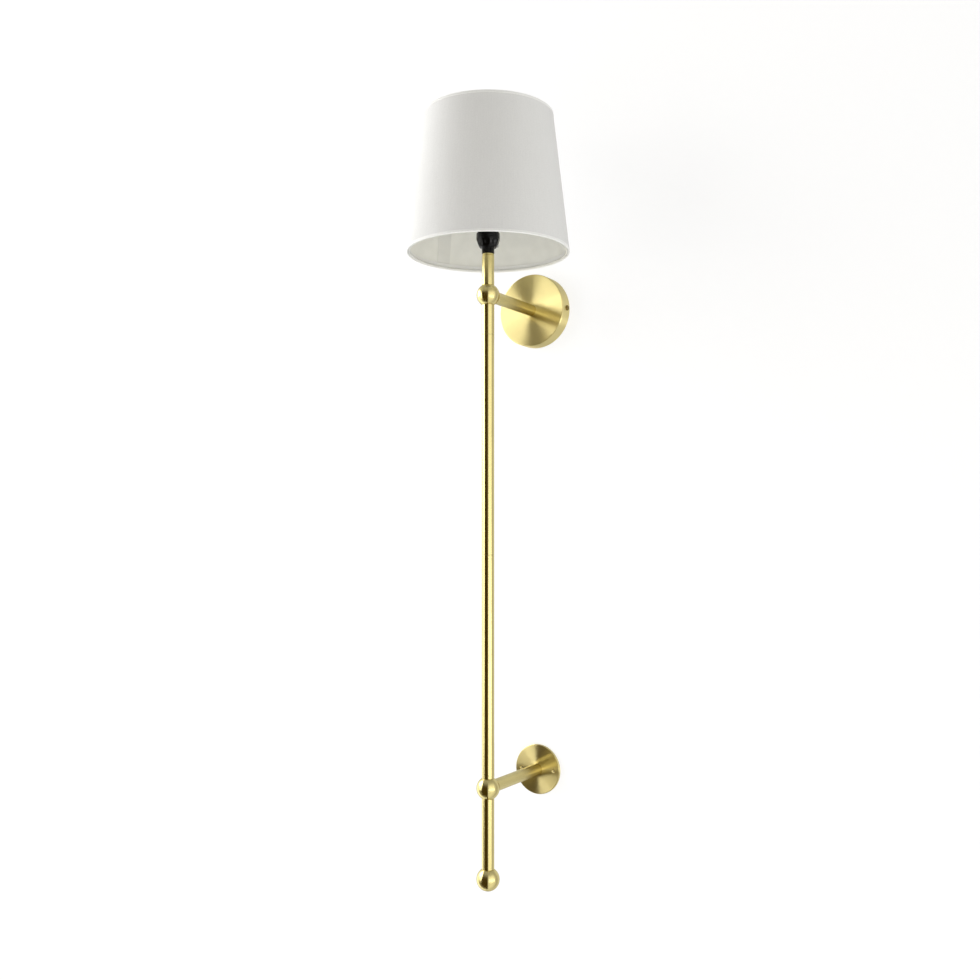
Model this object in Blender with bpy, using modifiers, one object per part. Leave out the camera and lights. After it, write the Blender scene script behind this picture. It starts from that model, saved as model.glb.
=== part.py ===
"""A tall brass wall light with a tapered linen shade, as an assembly of separate pieces.

Frame: the wall is the plane y = 0 and the light stands out from it towards -Y, with +Z up.
The origin is the middle of the wall bracket's back face, on the axis of the upper arm.
Sizes are in millimetres in this file's tables and become metres where the meshes are made.
"""

import math

import bmesh
import bpy
from mathutils import Matrix, Vector

MM = 0.001
GAP = 0.3  # clearance between pieces that touch

# Driving dimensions, in mm
BALL_R = 15.0
TUBE_R = 8.0
STEM_OUT = 134.0  # stem axis to the wall
LOWER_Z = -634.0  # axis of the lower arm
FINIAL_Z = LOWER_Z - 114.5
CANOPY_R = 50.0
CANOPY_DEPTH = 20.0
PLATE_R = 33.8
PLATE_DEPTH = 4.0
SHADE_BOTTOM_R = 106.0
SHADE_TOP_R = 85.0
SHADE_BOTTOM_Z = 54.5
SHADE_TOP_Z = 236.5
HOLDER_Z = 55.3  # the level that the lampholder's and bulb's own heights count from

# Tube stock and M10 fittings
TUBE_BORE_R = 7.0
THREAD_BORE_R = 5.3
THREAD_LENGTH = 12.0
NIPPLE_R = 5.0
NIPPLE_BORE_R = 3.9
NIPPLE_REACH = 11.0  # how far a nipple enters a tube

# Places that follow from them
FLAT = math.sqrt(BALL_R**2 - TUBE_R**2)  # centre of a ball to its spot faces
CAVITY_R = 9.5
NECK_DROP = 1.3  # the lampholder's neck goes on this far below HOLDER_Z
TOP_TUBE_END = HOLDER_Z - NECK_DROP - GAP
STUB_END = -52.0
STEM_JOINT = (STUB_END + LOWER_Z + FLAT) / 2
CANOPY_WALL = 1.2
CANOPY_INSIDE = CANOPY_DEPTH - CANOPY_WALL
RIM_SCREW_OUT = 9.0  # rim screws to the wall
RIM_HOLE_R = 2.4
WASHER_R = 8.5
WASHER_T = 1.0
NUT_ACROSS = 14.0
NUT_T = 4.0
PLATE_SCREW_X = 25.0
PLATE_HOLE_R = 1.65
SINK_R = 2.6
EDGE_BEVEL = 0.8

# Wall bracket
BRACKET_T = 1.6
BRACKET_HALF_W = 8.0
TAB_X = 47.8
TAB_OUT = 15.0
TAB_HALF_W = 7.0
SLOT_X = 34.0
SLOT_LENGTH = 14.0
SLOT_W = 5.0
EARTH_X = -20.0
EARTH_TAG_T = 0.8
BLOCK_SCREW_HOLE_R = 1.75
TONGUE_HALF_W = 7.0
TONGUE_END = -33.0

# Terminal block, on the bracket's tongue
BLOCK_HALF_W = 14.0
BLOCK_TOP = -14.0
BLOCK_BOTTOM = -30.0
BLOCK_BACK = BRACKET_T + GAP
BLOCK_FRONT = BLOCK_BACK + 12.0
BLOCK_MID = (BLOCK_BACK + BLOCK_FRONT) / 2
POLE_PITCH = 9.0
POLE_HOLE_R = 2.2

# Lampholder for a small screw bulb, heights above HOLDER_Z
NECK_R = 8.1
SHOULDER_Z = 6.6
HOLDER_R = 15.5
BASE_TOP = 25.0
SKIRT_R = 14.0
SKIRT_BORE_R = 12.6
SKIRT_TOP = 53.0
FLANGE_Z = 42.0
FLANGE_T = 2.0
FLANGE_R = 18.0
HUB_T = 1.5
HUB_R = 20.0
HUB_HOLE_R = 14.6
RING_R = 21.0
RING_BORE_R = 14.4
RING_T = 6.0
INSERT_R = 12.2
INSERT_LOW = 19.0
INSERT_TOP = 37.0
CUP_FLOOR = 25.0
CHAMBER_Z = 13.0
SHELL_TOP = 49.0
GRIP_LOW = 7.0
GRIP_TOP = 18.0
GRIP_DEPTH = 0.9
GRIP_MIN_R = 10.1  # nothing nearer the axis is pressed in
SHELL_R = 8.3
SHELL_BORE_R = 7.6
CUP_R = 8.6
LOBES = 8
LOCK_SCREW_UP = 8.4
LOCK_SCREW_TURN = math.radians(28.0)

# Bulb
BULB_CAP_R = 6.9
CAP_BORE_R = 4.9
CAP_TOP = 56.0
GLOBE_R = 22.5
GLOBE_WALL = 0.9
GLOBE_NECK_R = 10.0
TIP_Z = 29.0

# Shade
COVER_T = 0.6
LINER_T = 0.7
RING_WIRE_R = 1.25
ARM_WIRE_R = 1.2
ARM_ANGLES = (90.0, 210.0, 330.0)

BRASS = ("brass", (0.80, 0.66, 0.30), 0.25, 1.0)
LINEN = ("linen", (0.78, 0.77, 0.73), 0.9, 0.0)
STYRENE = ("styrene", (0.74, 0.74, 0.70), 0.6, 0.0)
WHITE_WIRE = ("white_wire", (0.85, 0.85, 0.83), 0.45, 0.0)
BLACK = ("black_phenolic", (0.012, 0.012, 0.013), 0.18, 0.0)
STEEL = ("zinc_steel", (0.62, 0.63, 0.65), 0.35, 1.0)
CERAMIC = ("ceramic", (0.80, 0.79, 0.75), 0.5, 0.0)
OPAL = ("opal_glass", (0.90, 0.90, 0.88), 0.15, 0.0)
NYLON = ("nylon", (0.80, 0.80, 0.76), 0.5, 0.0)
LIVE = ("brown_insulation", (0.16, 0.06, 0.02), 0.45, 0.0)
NEUTRAL = ("blue_insulation", (0.03, 0.10, 0.42), 0.45, 0.0)
EARTH = ("green_yellow_insulation", (0.25, 0.45, 0.05), 0.45, 0.0)


# ---------------------------------------------------------------- scene and materials


def clear_scene():
    for obj in list(bpy.data.objects):
        bpy.data.objects.remove(obj)


def collection(name):
    made = bpy.data.collections.new(name)
    bpy.context.scene.collection.children.link(made)
    return made


def material(spec):
    name, colour, roughness, metallic = spec
    made = bpy.data.materials.get(name)
    if made is None:
        made = bpy.data.materials.new(name)
        made.use_nodes = True
        shader = made.node_tree.nodes["Principled BSDF"]
        shader.inputs["Base Color"].default_value = (*colour, 1.0)
        shader.inputs["Roughness"].default_value = roughness
        shader.inputs["Metallic"].default_value = metallic
        made.diffuse_color = (*colour, 1.0)
    return made


def place(obj, group, spec, at=(0.0, 0.0, 0.0), out_of_wall=False):
    """Links obj, gives it its finish and puts its origin at `at`, in mm.

    With out_of_wall its own +Z points out of the wall, to -Y.
    """
    obj.location = Vector(at) * MM
    if out_of_wall:
        obj.rotation_euler = (math.pi / 2, 0.0, 0.0)
    group.objects.link(obj)
    if spec is not None:
        obj.data.materials.append(material(spec))
    return obj


# ---------------------------------------------------------------- shapes


def arc(centre_r, centre_h, radius, start, end, steps):
    """Points of an arc in a turned profile. Angles in degrees, 0 outwards and 90 up."""
    angles = [math.radians(start + (end - start) * i / steps) for i in range(steps + 1)]
    return [(centre_r + radius * math.cos(a), centre_h + radius * math.sin(a)) for a in angles]


def turned(name, group, spec, profile, at=(0.0, 0.0, 0.0), out_of_wall=False, steps=20):
    """A body turned about its own Z from (radius, height) points in mm, which run down its outer side."""
    mesh = bpy.data.meshes.new(name)
    points = [(r * MM, 0.0, h * MM) for r, h in profile]
    edges = [(i, i + 1) for i in range(len(points) - 1)]
    if profile[0][0] > 0.0:
        edges.append((len(points) - 1, 0))
    mesh.from_pydata(points, edges, [])
    obj = place(bpy.data.objects.new(name, mesh), group, spec, at, out_of_wall)
    screw = obj.modifiers.new("Turn", "SCREW")
    screw.steps = steps
    screw.render_steps = steps
    screw.use_merge_vertices = True
    screw.merge_threshold = 0.00001
    screw.use_smooth_shade = False
    return obj


def box(name, group, spec, low, high):
    """A box between two corners, in mm."""
    low, high = Vector(low), Vector(high)
    mesh = bpy.data.meshes.new(name)
    made = bmesh.new()
    bmesh.ops.create_cube(made, size=1.0)
    bmesh.ops.scale(made, vec=(high - low) * MM, verts=made.verts)
    made.to_mesh(mesh)
    made.free()
    return place(bpy.data.objects.new(name, mesh), group, spec, (low + high) / 2)


def rod(name, group, spec, start, end, radius, sides=16):
    """A round bar between two points, in mm."""
    start, end = Vector(start), Vector(end)
    mesh = bpy.data.meshes.new(name)
    made = bmesh.new()
    bmesh.ops.create_cone(
        made,
        cap_ends=True,
        segments=sides,
        radius1=radius * MM,
        radius2=radius * MM,
        depth=(end - start).length * MM,
    )
    made.to_mesh(mesh)
    made.free()
    obj = place(bpy.data.objects.new(name, mesh), group, spec, (start + end) / 2)
    obj.rotation_euler = (end - start).to_track_quat("Z", "Y").to_euler()
    return obj


def wire_ring(name, group, spec, radius, wire_r, at):
    bpy.ops.mesh.primitive_torus_add(
        major_radius=radius * MM,
        minor_radius=wire_r * MM,
        major_segments=36,
        minor_segments=6,
    )
    obj = bpy.context.object
    obj.name = name
    for owner in list(obj.users_collection):
        owner.objects.unlink(obj)
    return place(obj, group, spec, at)


def bent_wire(name, group, spec, route, radius, resolution=2):
    """A wire of round section along a list of points, in mm."""
    curve = bpy.data.curves.new(name, "CURVE")
    curve.dimensions = "3D"
    curve.bevel_depth = radius * MM
    curve.bevel_resolution = resolution
    curve.use_fill_caps = True
    spline = curve.splines.new("POLY")
    spline.points.add(len(route) - 1)
    for point, place_mm in zip(spline.points, route):
        point.co = (*(Vector(place_mm) * MM), 1.0)
    return place(bpy.data.objects.new(name, curve), group, spec)


def smooth_route(points, spacing):
    """Points about `spacing` mm apart on a Catmull-Rom curve through the given points."""
    knots = [Vector(p) for p in points]
    knots = [2 * knots[0] - knots[1], *knots, 2 * knots[-1] - knots[-2]]
    route = [knots[1]]
    for a, b, c, d in zip(knots, knots[1:], knots[2:], knots[3:]):
        steps = max(1, round((c - b).length / spacing))
        for i in range(1, steps + 1):
            t = i / steps
            bend = (2 * a - 5 * b + 4 * c - d) * t * t + (3 * b - a - 3 * c + d) * t**3
            route.append((2 * b + (c - a) * t + bend) / 2)
    return route


def flat_outline(name, group, spec, outlines, thickness, at, out_of_wall=False):
    """A flat piece cut to closed outlines of (x, y) points in mm; the second and later ones are holes."""
    curve = bpy.data.curves.new(name, "CURVE")
    curve.dimensions = "2D"
    curve.fill_mode = "BOTH"
    curve.extrude = thickness * MM / 2
    for outline in outlines:
        spline = curve.splines.new("POLY")
        spline.points.add(len(outline) - 1)
        spline.use_cyclic_u = True
        for point, (x, y) in zip(spline.points, outline):
            point.co = (x * MM, y * MM, 0.0, 1.0)
    obj = place(bpy.data.objects.new(name, curve), group, spec, at, out_of_wall)
    return solid_mesh(obj, group)


def solid_mesh(curve_obj, group):
    """The same piece as a mesh with its caps welded, so that a Boolean can cut it."""
    bpy.context.view_layer.update()
    graph = bpy.context.evaluated_depsgraph_get()
    mesh = bpy.data.meshes.new_from_object(curve_obj.evaluated_get(graph))
    made = bmesh.new()
    made.from_mesh(mesh)
    bmesh.ops.remove_doubles(made, verts=made.verts, dist=0.00001)
    bmesh.ops.recalc_face_normals(made, faces=made.faces)
    made.to_mesh(mesh)
    made.free()
    name = curve_obj.name
    world = curve_obj.matrix_world.copy()
    bpy.data.objects.remove(curve_obj)
    obj = bpy.data.objects.new(name, mesh)
    obj.matrix_world = world
    group.objects.link(obj)
    return obj


def circle(radius, sides, x=0.0, y=0.0, turn=0.0):
    step = 2 * math.pi / sides
    return [
        (x + radius * math.cos(turn + i * step), y + radius * math.sin(turn + i * step))
        for i in range(sides)
    ]


def slot_outline(x, length, width, sides=6):
    """A slot with round ends, along X."""
    r, reach = width / 2, (length - width) / 2
    ends = []
    for side, start in ((1, -90), (-1, 90)):
        for i in range(sides + 1):
            a = math.radians(start + 180 * i / sides)
            ends.append((x + side * reach + r * math.cos(a), r * math.sin(a)))
    return ends


def cut(obj, tool, operation="DIFFERENCE"):
    """Cuts, or joins, obj with another mesh object, which then counts as a helper."""
    tool.hide_render = True
    tool.display_type = "WIRE"
    step = obj.modifiers.new(tool.name, "BOOLEAN")
    step.operation = operation
    step.object = tool
    step.solver = "EXACT"
    return obj


def finish_shading():
    for obj in bpy.data.objects:
        if obj.type == "MESH" and obj.data.polygons:
            obj.data.shade_smooth()
            obj.data.set_sharp_from_angle(angle=math.radians(35))


# ---------------------------------------------------------------- tubes, nipples and balls


def tube_profile(length, steps_in=THREAD_LENGTH):
    """A tube with a threaded bush brazed into each end, from its foot up."""
    return [
        (THREAD_BORE_R, length),
        (TUBE_R, length),
        (TUBE_R, 0.0),
        (THREAD_BORE_R, 0.0),
        (THREAD_BORE_R, steps_in),
        (TUBE_BORE_R, steps_in + 0.5),
        (TUBE_BORE_R, length - steps_in - 0.5),
        (THREAD_BORE_R, length - steps_in),
    ]


def stem_tube(name, group, low, high):
    return turned(name, group, BRASS, tube_profile(high - low), (0.0, -STEM_OUT, low))


def arm_tube(name, group, near_wall, z):
    far = STEM_OUT - FLAT - GAP
    return turned(name, group, BRASS, tube_profile(far - near_wall), (0.0, -near_wall, z), True)


def nipple_profile(length):
    return [(NIPPLE_BORE_R, length), (NIPPLE_R, length), (NIPPLE_R, 0.0), (NIPPLE_BORE_R, 0.0)]


def stem_nipple(name, group, low, high):
    """A hollow threaded rod in the stem, between two heights."""
    return turned(name, group, STEEL, nipple_profile(high - low), (0.0, -STEM_OUT, low), steps=12)


def arm_nipple(name, group, near, far, z):
    """A hollow threaded rod in an arm, between two distances from the wall."""
    return turned(name, group, STEEL, nipple_profile(far - near), (0.0, -near, z), True, steps=12)


def ball_joint(name, group, helpers, z):
    """A hollow ball with spot-faced M10 holes above, below and towards the wall."""
    rim = math.degrees(math.atan2(FLAT, TUBE_R))
    mouth = math.degrees(math.acos(THREAD_BORE_R / CAVITY_R))
    outside = arc(0, 0, BALL_R, rim, -rim, 9)
    inside = arc(0, 0, CAVITY_R, -mouth, mouth, 4)
    profile = [(THREAD_BORE_R, FLAT), *outside, (THREAD_BORE_R, -FLAT), *inside]
    ball = turned(name, group, BRASS, profile, (0.0, -STEM_OUT, z))
    side_hole = [
        (0.0, BALL_R + 5),
        (TUBE_R, BALL_R + 5),
        (TUBE_R, FLAT),
        (THREAD_BORE_R, FLAT),
        (THREAD_BORE_R, 2.0),
        (0.0, 2.0),
    ]
    tool = turned(name + "_side_hole", helpers, None, side_hole, (0.0, -STEM_OUT, z))
    tool.rotation_euler = (-math.pi / 2, 0.0, 0.0)
    return cut(ball, tool)


def build_stem(group, helpers):
    ball_joint("upper_ball", group, helpers, 0.0)
    ball_joint("lower_ball", group, helpers, LOWER_Z)
    step = FLAT + GAP
    stem_tube("top_tube", group, step, TOP_TUBE_END)
    stem_tube("neck_stub", group, STUB_END + GAP / 2, -step)
    stem_tube("stem_tube_upper", group, STEM_JOINT + GAP / 2, STUB_END - GAP / 2)
    stem_tube("stem_tube_lower", group, LOWER_Z + step, STEM_JOINT - GAP / 2)
    stem_tube("tail_tube", group, FINIAL_Z + step, LOWER_Z - step)
    inner = 6.0  # a nipple's end inside a ball, from the ball's centre
    reach = step + NIPPLE_REACH
    stem_nipple("upper_ball_top_nipple", group, inner, reach)
    stem_nipple("upper_ball_lower_nipple", group, -reach, -inner)
    stem_nipple("stub_joint_nipple", group, STUB_END - NIPPLE_REACH, STUB_END + NIPPLE_REACH)
    stem_nipple("stem_joint_nipple", group, STEM_JOINT - NIPPLE_REACH, STEM_JOINT + NIPPLE_REACH)
    stem_nipple("lower_ball_top_nipple", group, LOWER_Z + inner, LOWER_Z + reach)
    stem_nipple("tail_nipple", group, LOWER_Z - reach, LOWER_Z - inner)
    stem_nipple("finial_nipple", group, FINIAL_Z + 2.0, FINIAL_Z + reach)
    rim = math.degrees(math.atan2(FLAT, TUBE_R))
    hole_floor = 1.5
    finial = [
        (0.0, hole_floor),
        (THREAD_BORE_R, hole_floor),
        (THREAD_BORE_R, FLAT),
        *arc(0, 0, BALL_R, rim, -90, 10)[:-1],
        (0.0, -BALL_R),
    ]
    turned("finial_ball", group, BRASS, finial, (0.0, -STEM_OUT, FINIAL_Z))


# ---------------------------------------------------------------- wall fixings


def build_arms(group):
    ball_end = STEM_OUT - 6.0
    ball_reach = STEM_OUT - FLAT - GAP - NIPPLE_REACH
    arm_tube("upper_arm", group, CANOPY_DEPTH + GAP, 0.0)
    arm_tube("lower_arm", group, PLATE_DEPTH + GAP, LOWER_Z)
    arm_nipple("upper_arm_nipple", group, ball_reach, ball_end, 0.0)
    arm_nipple("lower_arm_nipple", group, ball_reach, ball_end, LOWER_Z)
    arm_nipple("canopy_nipple", group, 11.0, CANOPY_DEPTH + GAP + NIPPLE_REACH, 0.0)
    arm_nipple("lower_plate_nipple", group, 0.5, PLATE_DEPTH + GAP + NIPPLE_REACH, LOWER_Z)


def build_canopy(group, helpers):
    corner = 1.5
    canopy = [
        (THREAD_BORE_R, CANOPY_DEPTH),
        *arc(CANOPY_R - corner, CANOPY_DEPTH - corner, corner, 90, 0, 3),
        (CANOPY_R, 0.0),
        (CANOPY_R - CANOPY_WALL, 0.0),
        (CANOPY_R - CANOPY_WALL, CANOPY_INSIDE),
        (THREAD_BORE_R, CANOPY_INSIDE),
    ]
    cup = turned("canopy", group, BRASS, canopy, out_of_wall=True, steps=40)
    end = Vector((CANOPY_R + 5, -RIM_SCREW_OUT, 0.0))
    start = Vector((-end.x, end.y, 0.0))
    cut(cup, rod("rim_drill", helpers, None, start, end, RIM_HOLE_R, 12))
    front = CANOPY_INSIDE - GAP
    back = front - WASHER_T
    washer = [(WASHER_R, front), (WASHER_R, back), (THREAD_BORE_R, back), (THREAD_BORE_R, front)]
    turned("canopy_washer", group, STEEL, washer, out_of_wall=True)
    nut_at = (0.0, -(back - GAP - NUT_T / 2), 0.0)
    hexagon = circle(NUT_ACROSS / 2 / math.cos(math.pi / 6), 6)
    outlines = [hexagon, circle(THREAD_BORE_R, 16)]
    flat_outline("canopy_nut", group, STEEL, outlines, NUT_T, nut_at, True)
    for side, name in ((1, "canopy_screw_right"), (-1, "canopy_screw_left")):
        rim_screw(name, group, side)


def rim_screw(name, group, side):
    """A pan head M4 screw through the canopy's rim, pointing in."""
    head_t, head_r, shank_r, length = 2.2, 3.7, 1.95, 8.0
    profile = [
        (0.0, head_t),
        (head_r - 1.0, head_t),
        (head_r - 0.3, head_t * 0.75),
        (head_r, head_t * 0.35),
        (head_r, 0.0),
        (shank_r, 0.0),
        (shank_r, -length),
        (0.0, -length),
    ]
    at = (side * (CANOPY_R + GAP), -RIM_SCREW_OUT, 0.0)
    screw = turned(name, group, BRASS, profile, at, steps=16)
    screw.rotation_euler = (0.0, side * math.pi / 2, 0.0)


def build_bracket(group, helpers):
    half = TAB_X - BRACKET_T / 2
    w = BRACKET_HALF_W
    outline = [(-half, -w), (half, -w), (half, w), (-half, w)]
    holes = [slot_outline(side * SLOT_X, SLOT_LENGTH, SLOT_W) for side in (-1, 1)]
    holes.append(circle(2.25, 12, EARTH_X, 0.0))
    at = (0.0, -BRACKET_T / 2, 0.0)
    bracket = flat_outline("wall_bracket", group, STEEL, [outline, *holes], BRACKET_T, at, True)
    low, high = (-TONGUE_HALF_W, -BRACKET_T, TONGUE_END), (TONGUE_HALF_W, 0.0, 0.0)
    cut(bracket, box("bracket_tongue", helpers, None, low, high), "UNION")
    hole_x, hole_z = POLE_PITCH / 2, (BLOCK_TOP + BLOCK_BOTTOM) / 2
    start, end = (hole_x, -5.0, hole_z), (hole_x, 5.0, hole_z)
    cut(bracket, rod("block_fixing_hole", helpers, None, start, end, BLOCK_SCREW_HOLE_R, 10))
    for side, name in ((1, "right"), (-1, "left")):
        inner, outer = sorted((side * (TAB_X - BRACKET_T), side * TAB_X))
        low, high = (inner, -TAB_OUT, -TAB_HALF_W), (outer, -BRACKET_T / 2, TAB_HALF_W)
        tab = box(f"bracket_tab_{name}", helpers, None, low, high)
        cut(bracket, tab, "UNION")
    end = Vector((TAB_X + 5, -RIM_SCREW_OUT, 0.0))
    start = Vector((-end.x, end.y, 0.0))
    cut(bracket, rod("tab_drill", helpers, None, start, end, RIM_HOLE_R, 12))
    head_t, head_r, shank_r, shank_end = 2.2, 3.5, 1.95, 0.3
    under_head = BRACKET_T + GAP + EARTH_TAG_T + GAP
    profile = [
        (0.0, under_head + head_t),
        (head_r - 0.9, under_head + head_t),
        (head_r, under_head + head_t * 0.5),
        (head_r, under_head),
        (shank_r, under_head),
        (shank_r, shank_end),
        (0.0, shank_end),
    ]
    turned("earth_screw", group, STEEL, profile, (EARTH_X, 0.0, 0.0), out_of_wall=True, steps=16)


def build_lower_plate(group, helpers):
    plate = [
        (THREAD_BORE_R, PLATE_DEPTH),
        (PLATE_R - EDGE_BEVEL, PLATE_DEPTH),
        (PLATE_R, PLATE_DEPTH - EDGE_BEVEL),
        (PLATE_R, 0.0),
        (THREAD_BORE_R, 0.0),
    ]
    disc = turned("lower_wall_plate", group, BRASS, plate, (0.0, 0.0, LOWER_Z), True, steps=40)
    sink_depth = SINK_R - PLATE_HOLE_R
    sink = [
        (0.0, PLATE_DEPTH + 1.0),
        (SINK_R + 1.0, PLATE_DEPTH + 1.0),
        (SINK_R, PLATE_DEPTH),
        (PLATE_HOLE_R, PLATE_DEPTH - sink_depth),
        (PLATE_HOLE_R, -1.0),
        (0.0, -1.0),
    ]
    for side, name in ((1, "right"), (-1, "left")):
        at = (side * PLATE_SCREW_X, 0.0, LOWER_Z)
        cut(disc, turned(f"plate_countersink_{name}", helpers, None, sink, at, True, steps=16))


# ---------------------------------------------------------------- wiring


def build_terminals(group, helpers):
    low = (-BLOCK_HALF_W, -BLOCK_FRONT, BLOCK_BOTTOM)
    high = (BLOCK_HALF_W, -BLOCK_BACK, BLOCK_TOP)
    block = box("terminal_block", group, NYLON, low, high)
    for i, name in enumerate(("earth", "live", "neutral")):
        x = (i - 1) * POLE_PITCH
        top, bottom = (x, -BLOCK_MID, BLOCK_TOP + 3), (x, -BLOCK_MID, BLOCK_BOTTOM - 3)
        cut(block, rod(f"{name}_pole_hole", helpers, None, bottom, top, POLE_HOLE_R, 12))
        barrel = [(1.9, 14.0), (1.9, 0.0), (1.1, 0.0), (1.1, 14.0)]
        turned(f"terminal_{name}", group, BRASS, barrel, (x, -BLOCK_MID, BLOCK_BOTTOM + 1), steps=12)
    middle = (BLOCK_TOP + BLOCK_BOTTOM) / 2
    x = POLE_PITCH / 2
    start, end = (x, -BLOCK_FRONT - 3.0, middle), (x, 1.0, middle)
    cut(block, rod("block_screw_hole", helpers, None, start, end, BLOCK_SCREW_HOLE_R, 10))
    head_t, head_r, shank_r = 1.9, 2.7, 1.4
    seat = BLOCK_FRONT + GAP
    screw = [
        (0.0, seat + head_t),
        (head_r - 0.5, seat + head_t),
        (head_r, seat + head_t / 2),
        (head_r, seat),
        (shank_r, seat),
        (shank_r, GAP),
        (0.0, GAP),
    ]
    turned("block_screw", group, STEEL, screw, (x, 0.0, middle), out_of_wall=True, steps=12)


def build_earth_tag(group, helpers):
    """A crimped ring terminal under the earth screw, its barrel towards +X."""
    y = -(BRACKET_T + GAP + EARTH_TAG_T / 2)
    ring_r, reach, half_w = 4.2, 6.0, 1.4
    start = math.degrees(math.asin(half_w / ring_r))
    sides = 14
    outline = [(reach, half_w)]
    for i in range(sides + 1):
        a = math.radians(start + (360 - 2 * start) * i / sides)
        outline.append((ring_r * math.cos(a), ring_r * math.sin(a)))
    outline.append((reach, -half_w))
    at = (EARTH_X, y, 0.0)
    outlines = [outline, circle(2.3, 12)]
    tag = flat_outline("earth_ring_terminal", group, STEEL, outlines, EARTH_TAG_T, at, True)
    barrel_y = y - 1.3
    start, end = (EARTH_X + 4.6, barrel_y, 0.0), (EARTH_X + 9.5, barrel_y, 0.0)
    cut(tag, rod("earth_barrel", helpers, None, start, end, 1.5, 12), "UNION")
    return end[0], barrel_y


def build_wires(group, earth_start):
    """Live and neutral run from the block through the arm, the ball and the top tube.

    The earth wire stays in the canopy.
    """
    wire_r = 1.0
    wire_top = HOLDER_Z + 18.0
    bend = 7.0  # radius of the turn inside the ball, on the arm's axis
    block_in = BLOCK_TOP + GAP
    for name, spec, side, pole_x in (("live", LIVE, -1, 0.0), ("neutral", NEUTRAL, 1, POLE_PITCH)):
        x = side * 1.3
        route = [(pole_x, -BLOCK_MID, block_in), (pole_x, -BLOCK_MID + 0.9, block_in + 3.2)]
        route.append((x + (pole_x - x) * 0.6, -6.3, -6.4))
        route.append((x + (pole_x - x) * 0.15, -7.6, -2.0))
        route += [(x, -11.5, 0.0), (x, -16.0, 0.0), (x, -45.0, 0.0), (x, -80.0, 0.0), (x, -110.0, 0.0)]
        for i in range(5):
            a = math.radians(90 * i / 4)
            route.append((x, -STEM_OUT + bend - bend * math.sin(a), bend - bend * math.cos(a)))
        route += [(x, -STEM_OUT, 24.0), (x, -STEM_OUT, HOLDER_Z), (x, -STEM_OUT, HOLDER_Z + 8.0)]
        route.append((side * 3.2, -STEM_OUT, HOLDER_Z + 13.5))
        route.append((side * 5.0, -STEM_OUT, wire_top))
        bent_wire(f"wire_{name}", group, spec, smooth_route(route, 5.0), wire_r)
    start_x, start_y = earth_start
    earth = [
        (start_x + GAP, start_y, 0.0),
        (start_x + 3.0, start_y - 0.3, -1.2),
        (start_x + 4.2, start_y - 1.2, -4.6),
        (-POLE_PITCH + 1.2, -BLOCK_MID + 1.6, -9.6),
        (-POLE_PITCH, -BLOCK_MID, block_in),
    ]
    bent_wire("wire_earth", group, EARTH, smooth_route(earth, 2.5), wire_r)


# ---------------------------------------------------------------- lampholder and bulb


def lobed(obj):
    """Presses LOBES finger grips into a turned mesh, deepest half way between GRIP_LOW and GRIP_TOP."""
    bpy.context.view_layer.update()
    graph = bpy.context.evaluated_depsgraph_get()
    mesh = bpy.data.meshes.new_from_object(obj.evaluated_get(graph))
    obj.modifiers.clear()
    obj.data = mesh
    for vertex in mesh.vertices:
        r = math.hypot(vertex.co.x, vertex.co.y)
        t = (vertex.co.z / MM - GRIP_LOW) / (GRIP_TOP - GRIP_LOW)
        if 0.0 < t < 1.0 and r > GRIP_MIN_R * MM:
            turn = math.atan2(vertex.co.y, vertex.co.x)
            press = GRIP_DEPTH * math.sin(math.pi * t) * (0.5 - 0.5 * math.cos(LOBES * turn))
            scale = 1.0 - press * MM / r
            vertex.co.x *= scale
            vertex.co.y *= scale
    return obj


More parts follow.
